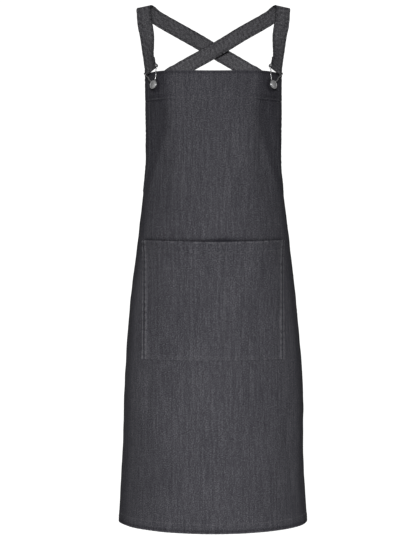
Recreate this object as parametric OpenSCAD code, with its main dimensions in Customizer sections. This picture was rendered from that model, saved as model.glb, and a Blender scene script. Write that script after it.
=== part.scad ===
// Cross-back bib apron in charcoal denim, in the shape it takes when it is worn.
// Millimetres. +Z is up, the front faces -Y and the wearer's right hand is at -X.
// The origin lies midway between the two shoulder rests, on the underside of the straps.

/* [Front panel] */
// Length from the bib's top edge down to the hem
panel_h = 860; // [840:1:870]
// Thickness of one layer of cloth
cloth_t = 1.2; // [1.0:0.1:1.3]
// Width of the turned hem down each side
side_hem_w = 20; // [14:1:26]
// Height of the facing behind the bib's top edge
facing_h = 52; // [46:1:60]
// Height of the turned hem along the bottom
bottom_hem_h = 19; // [14:1:26]

/* [Pocket] */
// Distance from the middle of the apron to each side of the pocket
pocket_half_w = 132; // [110:1:134]
// Drop from the bib's top edge to the pocket's mouth
pocket_drop = 317; // [300:1:330]
// Height of the pocket
pocket_h = 223; // [180:1:240]
// Sideways place of the seam that divides the pocket in two
pocket_divider_x = 20; // [-40:1:40]
// How far each compartment stands open at its mouth
pocket_gape = 11; // [8:0.5:12]
// Height of the turned hem along the pocket's mouth
mouth_hem_h = 20; // [15:1:24]

/* [Straps] */
// Width of the shoulder straps
strap_w = 30; // [26:1:32]
// Thickness of the shoulder straps
strap_t = 1.8; // [1.4:0.1:2.0]
// Length of the strap's end that is folded round the crossbar and sewn down
strap_end_l = 24.5; // [18:0.5:25]

/* [Clips and buttons] */
// Drop from the bib's top edge to the middle of each tack button
button_drop = 25; // [23:1:27]
// Diameter of the tack button's head
button_d = 17; // [14:0.5:18]
// Diameter of the clip's wire
wire_d = 2.5; // [2.0:0.1:2.8]
// Distance from the button to the crossbar that holds the strap
clip_reach = 34; // [33:0.5:36]
// How far the clip leans outwards from straight up
clip_roll = 26; // [22:1:30]

/* [Hidden] */

// The straps' resting place on the shoulders, from the bib's top edge and front plane.
shoulder_y = 125;
shoulder_z = 135;

// The body that the cloth follows: [drop below the bib's top edge, value].
half_width = [[0, 136], [110, 133.5], [205, 133], [310, 146], [430, 161.5], [600, 173.5],
              [720, 176.5], [860, 183.5]];
half_depth = [[0, 113], [215, 112], [313, 130], [540, 158], [860, 175]];
front_y = [[0, 22], [45, 10], [100, 2], [160, 0], [860, -10]];
// Where the cloth ends round the body, in degrees from the middle of the front.
edge_angle = [[0, 74], [140, 74.5], [180, 78], [210, 88], [236, 104], [300, 103], [430, 101.5],
              [600, 104.5], [860, 116]];
// The bib's top edge rises a little towards the two buttons.
edge_rise = 3.5;
edge_rise_depth = 60;
rise_rate = 1.8;

layer_gap = 0.5;
layer_step = cloth_t + layer_gap;
panel_cols = 32;
pocket_cols = 24;
button_angle = 54;
patch_angles = [48, 60];
patch_drops = [14, 38];
trim_angle = 0.3;

pin_d = 2.4;
pin_hole_d = 3.2;
nail_head_d = 10;
nail_head_t = 1.2;
shank_d = 7;
shank_bore_d = 2.6;
head_base = 6;
head_rim_t = 1.4;
head_dome_t = 1.2;
wire_low = 3;
wire_high = 4.4;
lobe_r = 6;
lobe_y = 1.05;
// The right half of the clip above its round lobe: [sideways, up].
leg_points = [[5.15, 9], [7.6, 13.3], [10.4, 17.5], [11.3, 22.5], [13.5, 26.9], [16.4, 30.3]];
lobe_top_angle = 30;
wire_sides = 10;

bar_d = 3.1;
bar_l = 36;
bar_head_d = 5;
bar_head_t = 1.2;
eye_x = 16.5;
eye_w = 2.5;
eye_d = 7.8;
eye_bore_d = 3.3;
strap_start = 61;
cross_gap = 4;
hem_slack = 0.5;

denim = [0.24, 0.24, 0.26];
denim_light = [0.29, 0.29, 0.31];
gunmetal = [0.38, 0.38, 0.39];
button_grey = [0.62, 0.62, 0.62];

function unit(v) = v / norm(v);
function mix(a, b, s) = a + (b - a) * s;

// Smooth curve through a list of [x, value], read at x.
function span_of(list, x, i = 0) =
    i >= len(list) - 2 || x < list[i + 1][0] ? i : span_of(list, x, i + 1);
function rise(list, i) =
    let (lo = max(0, i - 1), hi = min(len(list) - 1, i + 1))
    (list[hi][1] - list[lo][1]) / (list[hi][0] - list[lo][0]);
function curve(list, x) =
    let (i = span_of(list, x), h = list[i + 1][0] - list[i][0], s = (x - list[i][0]) / h)
    list[i][1] * (2 * s ^ 3 - 3 * s ^ 2 + 1) + h * rise(list, i) * (s ^ 3 - 2 * s ^ 2 + s)
    + list[i + 1][1] * (3 * s ^ 2 - 2 * s ^ 3) + h * rise(list, i + 1) * (s ^ 3 - s ^ 2);
function steepness(list, x) = (curve(list, x + 1) - curve(list, max(0, x - 1))) / (1 + min(1, x));

// A point of the cloth at angle t round the body and drop v, off millimetres outside it.
function edge_lift(t, v) = edge_rise * sin(rise_rate * abs(t)) ^ 2 * max(0, 1 - v / edge_rise_depth);
function skin(t, v) =
    [curve(half_width, v) * sin(t), curve(front_y, v) + curve(half_depth, v) * (1 - cos(t)),
     edge_lift(t, v) - v];
function skin_normal(t, v) =
    let (flat = unit([curve(half_depth, v) * sin(t), -curve(half_width, v) * cos(t), 0]),
         out = steepness(half_width, v) * sin(t),
         back = steepness(front_y, v) + steepness(half_depth, v) * (1 - cos(t)))
    unit([flat.x, flat.y, flat.x * out + flat.y * back]);
function cloth(t, v, off) = skin(t, v) + off * skin_normal(t, v);

// Angle at which the cloth lies a distance x to the side of the middle.
function angle_at(x, v) = asin(x / curve(half_width, v));
// Angle that takes up a length along the cloth near its edge.
function angle_of(length, v) = length / curve(half_depth, v) * 180 / PI;

// The clip's own axes on the left: out of the cloth, up the clip, and along its crossbar.
button_base = cloth(-button_angle, button_drop, 0);
clip_out = skin_normal(-button_angle, button_drop);
clip_rise = unit([0, 0, 1] - clip_out * clip_out.z);
clip_up = cos(clip_roll) * clip_rise - sin(clip_roll) * cross(clip_rise, clip_out);
clip_side = cross(clip_up, clip_out);

module worn() {
    translate([0, -shoulder_y, -shoulder_z]) children();
}

// Moves a shape from the clip's axes (X along the bar, Y up, Z out) to the left button.
module at_button() {
    worn()
        multmatrix([
            [clip_side.x, clip_up.x, clip_out.x, button_base.x],
            [clip_side.y, clip_up.y, clip_out.y, button_base.y],
            [clip_side.z, clip_up.z, clip_out.z, button_base.z],
            [0, 0, 0, 1]])
            children();
}

module other_side() {
    mirror([1, 0, 0]) children();
}

// A sheet between two grids of points, front(row, column) outside and back(row, column) inside.
module sheet(rows, cols, front, back) {
    n = (rows + 1) * (cols + 1);
    function id(r, c) = r * (cols + 1) + c;
    function quad(a, b, c, d) = [[a, b, c], [a, c, d]];
    points = concat(
        [for (r = [0:rows]) for (c = [0:cols]) front(r, c)],
        [for (r = [0:rows]) for (c = [0:cols]) back(r, c)]);
    faces = concat(
        [for (r = [0:rows - 1]) for (c = [0:cols - 1])
            each quad(id(r, c), id(r, c + 1), id(r + 1, c + 1), id(r + 1, c))],
        [for (r = [0:rows - 1]) for (c = [0:cols - 1])
            each quad(n + id(r, c), n + id(r + 1, c), n + id(r + 1, c + 1), n + id(r, c + 1))],
        [for (c = [0:cols - 1])
            each quad(id(0, c), n + id(0, c), n + id(0, c + 1), id(0, c + 1))],
        [for (c = [0:cols - 1])
            each quad(id(rows, c), id(rows, c + 1), n + id(rows, c + 1), n + id(rows, c))],
        [for (r = [0:rows - 1])
            each quad(id(r, 0), id(r + 1, 0), n + id(r + 1, 0), n + id(r, 0))],
        [for (r = [0:rows - 1])
            each quad(id(r, cols), n + id(r, cols), n + id(r + 1, cols), id(r + 1, cols))]);
    polyhedron(points, faces);
}

// A layer of cloth from angle lo(v) to hi(v), at the drops listed, outer face at off(t, v).
module layer(drops, cols, lo, hi, off) {
    function place(r, c, down) =
        let (v = drops[r], t = mix(lo(v), hi(v), c / cols))
        cloth(t, v, off(t, v) - down);
    worn()
        sheet(len(drops) - 1, cols, function(r, c) place(r, c, 0), function(r, c) place(r, c, cloth_t));
}

function steps(from, to, count) = [for (i = [0:count]) mix(from, to, i / count)];

// The hole that a tack's pin makes in every layer under the left button.
module pin_hole() {
    at_button() cylinder(d = pin_hole_d, h = 20, center = true, $fn = 12);
}

// Rows of the panel and its side hems, closer together where the side edge curves.
function edge_drops(from, to, count) =
    concat(steps(from, 130, count), steps(150, 236, 6), steps(262, to, 14));

module body_panel() {
    edge = function(v) curve(edge_angle, v);
    color(denim)
        difference() {
            layer(edge_drops(0, panel_h, 5), panel_cols, function(v) -edge(v), edge, function(t, v) 0);
            pin_hole();
            other_side() pin_hole();
        }
}

module bib_facing() {
    edge = function(v) curve(edge_angle, v) - trim_angle;
    color(denim_light)
        difference() {
            layer([1, facing_h / 2, facing_h], panel_cols, function(v) -edge(v), edge,
                  function(t, v) -layer_step);
            pin_hole();
            other_side() pin_hole();
        }
}

module side_hem() {
    first = facing_h + 2;
    last = panel_h - bottom_hem_h - 2;
    color(denim_light)
        layer(edge_drops(first, last, 3), 2,
              function(v) trim_angle - curve(edge_angle, v),
              function(v) angle_of(side_hem_w, v) - curve(edge_angle, v),
              function(t, v) -layer_step - hem_slack);
}

module bottom_hem() {
    edge = function(v) curve(edge_angle, v) - trim_angle;
    color(denim_light)
        layer([panel_h - bottom_hem_h, panel_h - 1], panel_cols,
              function(v) -edge(v), edge, function(t, v) -layer_step);
}

// How far a point of the pocket stands off the panel, zero along its seams.
function pocket_stand(t, v) =
    let (side = angle_at(pocket_half_w, v),
         seam = angle_at(pocket_divider_x, v),
         s = t < seam ? (t + side) / (seam + side) : (side - t) / (side - seam),
         down = (v - pocket_drop) / pocket_h,
         hem_room = (cloth_t + 0.9) * max(0, 1 - down * pocket_h / (3 * mouth_hem_h)))
    layer_step + hem_room + pocket_gape * (1 - down) * sin(180 * max(0, min(1, s)));

module pocket_panel() {
    upper = steps(pocket_drop, pocket_drop + 2 * mouth_hem_h, 2);
    lower = steps(pocket_drop + 75, pocket_drop + pocket_h, 4);
    color(denim)
        layer(concat(upper, lower), pocket_cols,
              function(v) -angle_at(pocket_half_w, v), function(v) angle_at(pocket_half_w, v),
              function(t, v) pocket_stand(t, v));
}

module pocket_mouth_hem() {
    color(denim_light)
        layer([pocket_drop + 0.5, pocket_drop + mouth_hem_h], pocket_cols,
              function(v) trim_angle - angle_at(pocket_half_w, v),
              function(v) angle_at(pocket_half_w, v) - trim_angle,
              function(t, v) pocket_stand(t, v) - layer_step);
}

module button_patch() {
    color(denim_light)
        difference() {
            layer(steps(patch_drops[0], patch_drops[1], 2), 3,
                  function(v) -patch_angles[1], function(v) -patch_angles[0],
                  function(t, v) -2 * layer_step);
            pin_hole();
        }
}

// The left strap's route: [middle of the strap, direction it faces away from the body].
inside = -2 * layer_step - 1.5 - strap_t / 2;
strap_start_point = button_base + strap_start * clip_up + wire_high * clip_out;
crest = [-132.5, 125, shoulder_z + strap_t / 2];
crest_run = unit([0.38, 0.925, 0]);
crest_face = unit([-0.145, 0.06, 0.98]);
crest_half = 5;
front_run = [
    [strap_start_point, clip_out],
    [[-127, 105.5, 75], [-0.42, -0.83, 0.34]],
    [[-132.2, 115, 104], [-0.30, -0.84, 0.45]],
    [[-134, 117, 126], [-0.34, -0.84, 0.42]]];
back_run = [
    [[-124.5, 138.5, 131.5], [-0.10, 0.45, 0.88]],
    [[-108, 150, 117], [0, 0.80, 0.58]],
    [[-52, 178, 90], [0, 0.90, 0.40]],
    [[0, 207, 62], [0, 0.94, 0.34]],
    [[34, 209, 43], [0.05, 0.96, 0.25]],
    [[68, 205, 23], [0.25, 0.94, 0.18]],
    [[101, 187, -30], [0.52, 0.84, 0.10]],
    [[120, 163, -110], [0.80, 0.60, 0.02]],
    [[125, 141, -180], [0.95, 0.30, 0]],
    [cloth(97, 228, inside), skin_normal(97, 228)],
    [cloth(97, 262, inside), skin_normal(97, 262)],
    [cloth(97, 294, inside), skin_normal(97, 294)]];

// Smooth route through stations, with sub points between each two.
function tangent(list, i, k) =
    (list[min(len(list) - 1, i + 1)][k] - list[max(0, i - 1)][k])
    / (min(len(list) - 1, i + 1) - max(0, i - 1));
function between(list, i, s, k) =
    list[i][k] * (2 * s ^ 3 - 3 * s ^ 2 + 1) + tangent(list, i, k) * (s ^ 3 - 2 * s ^ 2 + s)
    + list[i + 1][k] * (3 * s ^ 2 - 2 * s ^ 3) + tangent(list, i + 1, k) * (s ^ 3 - s ^ 2);
function route(list, sub) = [
    for (i = [0:len(list) - 2]) for (j = [0:sub - 1]) let (s = j / sub)
        [between(list, i, s, 0), unit(between(list, i, s, 1))],
    list[len(list) - 1]];
function heading(list, i) = unit(list[min(len(list) - 1, i + 1)][0] - list[max(0, i - 1)][0]);

// Corners of the strap's section where it runs along d and faces n.
function section(p, d, n) =
    let (side = unit(cross(d, n)), face = cross(side, d))
    [for (k = [[1, 1], [1, -1], [-1, -1], [-1, 1]])
        p + side * k[0] * strap_w / 2 + face * k[1] * strap_t / 2];

function lifted(list, gap) = [
    for (s = list)
        let (near = max(0, 1 - abs(s[0].x) / 60))
        [s[0] + unit(s[1]) * gap * min(1, 2 * near), s[1]]];

// A closed tube through rings of points that all have the same number of corners.
module tube(rings) {
    k = len(rings[0]);
    last = (len(rings) - 1) * k;
    faces = concat(
        [[for (j = [0:k - 1]) j]],
        [[for (j = [k - 1:-1:0]) last + j]],
        [for (i = [0:len(rings) - 2]) for (j = [0:k - 1])
            let (a = i * k + j, b = i * k + (j + 1) % k)
            each [[a, a + k, b + k], [a, b + k, b]]]);
    polyhedron([for (r = rings) each r], faces);
}

module strap(gap) {
    front = route(front_run, 3);
    back = lifted(route(back_run, 3), gap);
    brow = crest - crest_half * crest_run;
    turn = unit(crest_face - crest_run);
    bend = [
        section(brow - 2.4 * crest_run - 3.2 * crest_face, crest_face, -crest_run),
        section(brow - strap_t / 2 * (crest_face - turn) - 0.5 * crest_run,
                unit(crest_face + crest_run), turn)];
    flat = [for (s = [-1, 1])
        section(crest + s * crest_half * crest_run, crest_run, crest_face)];
    color(denim)
        worn()
            tube(concat(
                [for (i = [0:len(front) - 1]) section(front[i][0], heading(front, i), front[i][1])],
                bend,
                flat,
                [for (i = [0:len(back) - 1]) section(back[i][0], heading(back, i), back[i][1])]));
}

// The strap's end, folded round the crossbar: a sleeve with two layers running up from it.
module strap_end() {
    sleeve_d = eye_bore_d + 2 * strap_t;
    color(denim_light)
        at_button()
            translate([-strap_w / 2 + 0.4, clip_reach, wire_high])
                rotate([90, 0, 90])
                    linear_extrude(strap_w - 0.8)
                        difference() {
                            union() {
                                circle(d = sleeve_d, $fn = 48);
                                translate([0, -strap_t]) square([strap_end_l, 2 * strap_t]);
                            }
                            circle(d = eye_bore_d, $fn = 48);
                        }
}

// The clip's wire: the left leg, round the lobe under the button, and up the right leg.
function wire_height(y) = mix(wire_low, wire_high, max(0, min(1, y / clip_reach)));
function on_wire(p) = [[p[0], p[1], wire_height(p[1])], [0, 0, 1]];
lobe_points = [for (a = [-180 - lobe_top_angle:20:lobe_top_angle])
    [lobe_r * cos(a), lobe_y + lobe_r * sin(a)]];
wire_points = concat(
    [for (i = [len(leg_points) - 1:-1:0]) on_wire([-leg_points[i][0], leg_points[i][1]])],
    [for (p = lobe_points) on_wire(p)],
    [for (p = leg_points) on_wire(p)]);

module buckle_wire() {
    path = route(wire_points, 2);
    rings = [for (i = [0:len(path) - 1])
        let (d = heading(path, i), side = unit(cross(d, [0, 0, 1])), up = cross(side, d))
        [for (j = [0:wire_sides - 1])
            let (a = -360 * j / wire_sides)
            path[i][0] + (side * cos(a) + up * sin(a)) * wire_d / 2]];
    color(gunmetal)
        at_button() {
            tube(rings);
            for (s = [-1, 1])
                translate([s * eye_x, clip_reach, wire_high])
                    rotate([0, 90, 0])
                        difference() {
                            cylinder(d = eye_d, h = eye_w, center = true, $fn = 48);
                            cylinder(d = eye_bore_d, h = eye_w + 2, center = true, $fn = 48);
                        }
        }
}

// The bar that the strap's end turns on, with a small head outside each eye.
module crossbar() {
    color(gunmetal)
        at_button()
            translate([0, clip_reach, wire_high])
                rotate([0, 90, 0]) {
                    cylinder(d = bar_d, h = bar_l + 1, center = true, $fn = 48);
                    for (s = [-1, 1])
                        translate([0, 0, s * (bar_l + bar_head_t + 0.6) / 2])
                            cylinder(d = bar_head_d, h = bar_head_t, center = true, $fn = 48);
                }
}

module button_cap() {
    r = button_d / 2;
    color(button_grey)
        at_button()
            translate([0, 0, head_base])
                rotate_extrude($fn = 64)
                    polygon([[0, 0], [r - 0.5, 0], [r, 0.5], [r, head_rim_t], [r - 0.7, head_rim_t + 0.6],
                             [r - 1.6, head_rim_t + 0.4], [r * 0.5, head_rim_t + 0.9],
                             [0, head_rim_t + head_dome_t]]);
}

module button_shank() {
    color(button_grey)
        at_button()
            difference() {
                translate([0, 0, layer_gap]) cylinder(d = shank_d, h = head_base - layer_gap, $fn = 48);
                translate([0, 0, -1]) cylinder(d = shank_bore_d, h = head_base, $fn = 48);
            }
}

module tack_nail() {
    head_top = -3 * layer_step;
    color(gunmetal)
        at_button() {
            translate([0, 0, head_top - nail_head_t]) cylinder(d = nail_head_d, h = nail_head_t, $fn = 48);
            translate([0, 0, head_top - 0.5]) cylinder(d = pin_d, h = head_base - 2 - head_top, $fn = 48);
        }
}

body_panel();
bib_facing();
side_hem();  // side_hem_left
other_side() side_hem();  // side_hem_right
bottom_hem();
pocket_panel();
pocket_mouth_hem();
button_patch();  // button_patch_left
other_side() button_patch();  // button_patch_right
strap(cross_gap);  // strap_left
other_side() strap(-cross_gap);  // strap_right
strap_end();  // strap_end_left
other_side() strap_end();  // strap_end_right
buckle_wire();  // buckle_wire_left
other_side() buckle_wire();  // buckle_wire_right
crossbar();  // crossbar_left
other_side() crossbar();  // crossbar_right
button_cap();  // button_cap_left
other_side() button_cap();  // button_cap_right
button_shank();  // button_shank_left
other_side() button_shank();  // button_shank_right
tack_nail();  // tack_nail_left
other_side() tack_nail();  // tack_nail_right
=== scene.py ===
"""Looks of the cross-back denim bib apron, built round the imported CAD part."""
import math

import bpy
import numpy as np
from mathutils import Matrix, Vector


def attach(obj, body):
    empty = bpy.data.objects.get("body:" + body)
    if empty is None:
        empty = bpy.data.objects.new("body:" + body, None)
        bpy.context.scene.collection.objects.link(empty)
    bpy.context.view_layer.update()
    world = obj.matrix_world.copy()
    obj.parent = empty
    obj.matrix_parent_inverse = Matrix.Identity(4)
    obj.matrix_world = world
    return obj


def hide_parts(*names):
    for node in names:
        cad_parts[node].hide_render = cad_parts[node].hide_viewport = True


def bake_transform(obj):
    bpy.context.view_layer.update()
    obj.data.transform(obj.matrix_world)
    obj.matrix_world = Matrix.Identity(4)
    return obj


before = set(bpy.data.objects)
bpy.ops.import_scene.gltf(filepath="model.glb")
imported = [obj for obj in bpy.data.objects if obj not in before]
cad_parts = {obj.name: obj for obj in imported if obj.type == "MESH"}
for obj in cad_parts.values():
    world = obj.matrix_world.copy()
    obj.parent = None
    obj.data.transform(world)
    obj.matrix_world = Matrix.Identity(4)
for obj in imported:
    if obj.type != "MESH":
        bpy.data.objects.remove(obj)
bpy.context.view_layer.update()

# ---------------------------------------------------------------- sizes
# Millimetres, measured from the bib's top edge: x to the wearer's left, y back, z up.
ORIGIN = np.array([0.0, 125.0, 135.0])
PANEL_H = 860.0
CLOTH_T = 1.2
LAYER_STEP = 1.7
SIDE_HEM_W = 20.0
FACING_H = 52.0
BOTTOM_HEM_H = 19.0
POCKET_HALF_W = 132.0
POCKET_TOP = 317.0
POCKET_BOTTOM = 540.0
POCKET_DIVIDER_X = 20.0
POCKET_GAPE = 10.0
POCKET_SAG = 4.5
MOUTH_HEM_H = 20.0
POCKET_STITCH = 4.2
HEM_INSET = 2.4
PATCH_ANGLES = (48, 60)
PATCH_DROPS = (14, 38)
BOX_ANGLES = (92, 98.5)
BOX_DROPS = (232, 292)
STRAP_W = 30.0
STRAP_T = 1.8
WIRE_D = 2.5
CLIP_REACH = 34.0
CLIP_ROLL = math.radians(26)
BUTTON_ANGLE = 54.0
BUTTON_DROP = 25.0
BUTTON_D = 17.0
BAR_HALF_L = 18.0
EYE_R = 2.85
WIRE_LOW = 3.0
WIRE_HIGH = 4.4
CROSS_GAP = 3.6
SIDES = (("left", -1), ("right", 1))

HALF_WIDTH = [[0, 136], [110, 133.5], [205, 133], [310, 146], [430, 161.5], [600, 173.5],
              [720, 176.5], [860, 183.5]]
HALF_DEPTH = [[0, 113], [215, 112], [313, 130], [540, 158], [860, 175]]
FRONT_Y = [[0, 22], [45, 10], [100, 2], [160, 0], [860, -10]]
EDGE_ANGLE = [[0, 74], [140, 74.5], [180, 78], [210, 88], [236, 104], [300, 103],
              [430, 101.5], [600, 104.5], [860, 116]]


# ---------------------------------------------------------------- numbers
def unit(a):
    a = np.asarray(a, float)
    return a / np.maximum(np.linalg.norm(a, axis=-1, keepdims=True), 1e-12)


def step(low, high, x):
    s = np.clip((np.asarray(x, float) - low) / (high - low), 0, 1)
    return s * s * (3 - 2 * s)


def bump(x, at, width):
    return np.exp(-(((np.asarray(x, float) - at) / width) ** 2))


def between(s, low, high, low_slope, high_slope):
    """Smooth value a share s of the way from low to high."""
    return (low * (2 * s**3 - 3 * s**2 + 1) + low_slope * (s**3 - 2 * s**2 + s)
            + high * (3 * s**2 - 2 * s**3) + high_slope * (s**3 - s**2))


def curve(points, x):
    """Smooth curve through [x, value] points."""
    px, py = np.array(points, float).T
    slope = np.gradient(py)
    slope[1:-1] = (py[2:] - py[:-2]) / (px[2:] - px[:-2])
    slope[0] = (py[1] - py[0]) / (px[1] - px[0])
    slope[-1] = (py[-1] - py[-2]) / (px[-1] - px[-2])
    x = np.asarray(x, float)
    i = np.clip(np.searchsorted(px, x, side="right") - 1, 0, len(px) - 2)
    h = px[i + 1] - px[i]
    return between((x - px[i]) / h, py[i], py[i + 1], h * slope[i], h * slope[i + 1])


def steepness(points, x):
    x = np.asarray(x, float)
    return (curve(points, x + 1) - curve(points, np.maximum(0, x - 1))) / (1 + np.minimum(1, x))


def waves(x, y, size, seed, count=8):
    """Smooth random height, about -1 to 1, with features about size across."""
    rng = np.random.default_rng(seed)
    total = 0.0
    for _ in range(count):
        turn, phase = rng.uniform(0, 2 * math.pi, 2)
        rate = 2 * math.pi / size * rng.uniform(0.6, 1.3)
        total = total + np.sin(rate * (x * math.cos(turn) + y * math.sin(turn)) + phase)
    return total / math.sqrt(count) * 0.8


def waves_along(x, size, seed, count=6):
    """Smooth random height along a line."""
    rng = np.random.default_rng(seed)
    total = 0.0
    for _ in range(count):
        phase = rng.uniform(0, 2 * math.pi)
        rate = 2 * math.pi / size * rng.uniform(0.6, 1.5)
        total = total + np.sin(rate * np.asarray(x, float) + phase)
    return total / math.sqrt(count) * 0.8


# ---------------------------------------------------------------- the cloth's shape
def skin(t, v):
    """Point at angle t (degrees) round the body and drop v below the bib's top edge."""
    t, v = np.broadcast_arrays(np.asarray(t, float), np.asarray(v, float))
    a = np.radians(t)
    x = curve(HALF_WIDTH, v) * np.sin(a)
    y = curve(FRONT_Y, v) + curve(HALF_DEPTH, v) * (1 - np.cos(a))
    lift = 3.5 * np.sin(1.8 * np.abs(a)) ** 2 * np.maximum(0, 1 - v / 60)
    return np.stack([x, y, lift - v], -1)


def outward(t, v):
    """The cloth's outward direction there."""
    t, v = np.broadcast_arrays(np.asarray(t, float), np.asarray(v, float))
    a = np.radians(t)
    hd, hw = curve(HALF_DEPTH, v), curve(HALF_WIDTH, v)
    flat = unit(np.stack([hd * np.sin(a), -hw * np.cos(a)], -1))
    out = steepness(HALF_WIDTH, v) * np.sin(a)
    back = steepness(FRONT_Y, v) + steepness(HALF_DEPTH, v) * (1 - np.cos(a))
    return unit(np.stack([flat[..., 0], flat[..., 1], flat[..., 0] * out + flat[..., 1] * back], -1))


def drape(t, v):
    """Soft folds that every layer of cloth shares, in millimetres outward."""
    x = t * 2.4
    loose = step(60, 330, v)
    calm = step(20, 75, v)
    long_folds = waves(x, v * 0.16, 74, 11) * (0.25 + 1.25 * step(420, 820, v)) * loose
    broad = waves(x, v * 0.5, 150, 12) * 1.1 * calm
    fine = waves(x, v, 46, 13) * 0.28 * calm
    pull = bump(np.abs(t) - 0.10 * (v - 25), 54, 5.5) * 1.5 * step(30, 75, v) * step(240, 110, v)
    chest = step(42, 80, v) * step(290, 170, v)
    turned = -4.0 * step(31, 46, np.abs(t)) * chest * step(72, 50, np.abs(t))
    curl = -5.0 * step(17, 0, side_gap(t, v)) * step(230, 330, v)
    crease = -3.0 * bump(t, -45.5, 3.4) * step(548, 585, v) * step(700, 610, v)
    return long_folds + broad + fine + pull + turned + curl + crease


def cloth(t, v, off=0.0):
    t, v = np.broadcast_arrays(np.asarray(t, float), np.asarray(v, float))
    off = np.asarray(off, float) + drape(t, v)
    return skin(t, v) + off[..., None] * outward(t, v)


def speed(t, v):
    """Millimetres of cloth to a degree round the body."""
    a = np.radians(np.asarray(t, float))
    hd, hw = curve(HALF_DEPTH, v), curve(HALF_WIDTH, v)
    return np.hypot(hw * np.cos(a), hd * np.sin(a)) * math.pi / 180


def edge(v):
    return curve(EDGE_ANGLE, v)


def inset(v, length):
    """Angle at a distance in from the cloth's side edge."""
    e = edge(v)
    return e - length / speed(e, v)


def angle_at(x, v):
    return np.degrees(np.arcsin(np.clip(x / curve(HALF_WIDTH, v), -1, 1)))


# ---------------------------------------------------------------- meshes
def to_frame(points):
    return (np.asarray(points, float) - ORIGIN) / 1000


def make(name, points, faces, materials, index=None, flat=None, marks=None):
    """A mesh from points in millimetres, with flat cloth places and vertex marks."""
    mesh = bpy.data.meshes.new(name)
    mesh.from_pydata(to_frame(points).tolist(), [], [list(map(int, f)) for f in faces])
    for m in materials:
        mesh.materials.append(m)
    if index is not None:
        mesh.polygons.foreach_set("material_index", np.asarray(index, np.int32))
    mesh.polygons.foreach_set("use_smooth", np.ones(len(mesh.polygons), bool))
    if flat is not None:
        layer = mesh.uv_layers.new(name="pattern")
        corner = np.zeros(len(mesh.loops), np.int32)
        mesh.loops.foreach_get("vertex_index", corner)
        layer.data.foreach_set("uv", np.asarray(flat, np.float32)[corner].ravel())
    for key, value in (marks or {}).items():
        attribute = mesh.attributes.new(key, "FLOAT", "POINT")
        attribute.data.foreach_set("value", np.asarray(value, np.float32).ravel())
    mesh.validate()
    mesh.update()
    obj = bpy.data.objects.new(name, mesh)
    bpy.context.scene.collection.objects.link(obj)
    return obj


def sheet_mesh(name, outer, inner, flat, wear_and_shade):
    """Cloth with two faces and a rounded rim, from two grids of points."""
    rows, cols = outer.shape[:2]
    n = rows * cols
    ids = np.arange(n).reshape(rows, cols)
    quad = np.stack([ids[:-1, :-1], ids[1:, :-1], ids[1:, 1:], ids[:-1, 1:]], -1).reshape(-1, 4)
    loop = np.concatenate([ids[0, :-1], ids[:-1, -1], ids[-1, :0:-1], ids[:0:-1, 0]])
    nearer = np.concatenate([ids[1, :-1], ids[:-1, -2], ids[-2, :0:-1], ids[:0:-1, 1]])
    o, i = outer.reshape(-1, 3), inner.reshape(-1, 3)
    away = unit(o[loop] - o[nearer])
    thick = np.linalg.norm(o[loop] - i[loop], axis=1, keepdims=True)
    middle = (o[loop] + i[loop]) / 2
    rims = [middle + (o[loop] - middle) * 0.74 + away * thick * 0.30,
            middle + away * thick * 0.44,
            middle + (i[loop] - middle) * 0.74 + away * thick * 0.30]
    k = len(loop)
    chain = [loop] + [2 * n + j * k + np.arange(k) for j in range(3)] + [n + loop]
    strips = []
    for a, b in zip(chain[:-1], chain[1:]):
        strips.append(np.stack([a, np.roll(a, -1), np.roll(b, -1), b], -1))
    faces = np.concatenate([quad, quad[:, ::-1] + n] + strips)
    points = np.concatenate([o, i] + rims)
    f = flat.reshape(-1, 2)
    w = wear_and_shade.reshape(-1)
    flats = np.concatenate([f, f] + [f[loop]] * 3)
    all_wear_and_shade = np.concatenate([w, w * 0.2] + [w[loop]] * 3)
    index = np.zeros(len(faces), int)
    index[len(quad):2 * len(quad)] = 1
    return make(name, points, faces, [DENIM, REVERSE], index, flats, {"wear_and_shade": all_wear_and_shade})


def flat_places(t, v, shift=(0.0, 0.0)):
    """Place of each grid point on the flat cloth, in metres."""
    p = skin(t, v)
    across = np.zeros(t.shape)
    across[:, 1:] = np.cumsum(np.linalg.norm(np.diff(p, axis=1), axis=2), axis=1)
    zero = np.array([np.interp(0, t[r], across[r]) if t[r, 0] < 0 < t[r, -1] else 0
                     for r in range(len(t))])
    base = np.where((t[:, 0] < 0) & (t[:, -1] > 0), 0, t[:, t.shape[1] // 2] * speed(0, v[:, 0]))
    return np.stack([(across - zero[:, None] + base[:, None]) / 1000 + shift[0],
                     v / 1000 + shift[1]], -1)


def spaced(points, gap):
    """Values between points, no further apart than gap."""
    out = [points[0]]
    for a, b in zip(points[:-1], points[1:]):
        n = max(1, int(math.ceil(abs(b - a) / gap)))
        out += list(np.linspace(a, b, n + 1)[1:])
    return np.array(out)


# ---------------------------------------------------------------- materials
def node(tree, kind, inputs=None, **settings):
    made = tree.nodes.new(kind)
    for key, value in settings.items():
        setattr(made, key, value)
    for key, value in (inputs or {}).items():
        if isinstance(value, bpy.types.NodeSocket):
            tree.links.new(value, made.inputs[key])
        else:
            made.inputs[key].default_value = value
    return made


def calc(tree, operation, a, b=0.0, c=0.0):
    return node(tree, "ShaderNodeMath", {0: a, 1: b, 2: c}, operation=operation).outputs[0]


def noise(tree, vector, scale, detail=2.0):
    """Noise from -0.5 to 0.5, with scale cells to a metre each way."""
    spread = node(tree, "ShaderNodeMapping", {"Vector": vector, "Scale": scale})
    made = node(tree, "ShaderNodeTexNoise",
                {"Vector": spread.outputs[0], "Scale": 1.0, "Detail": detail})
    return calc(tree, "SUBTRACT", made.outputs["Fac"], 0.5)


def new_material(name):
    made = bpy.data.materials.new(name)
    made.use_nodes = True
    tree = made.node_tree
    return made, tree, tree.nodes["Principled BSDF"]


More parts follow.
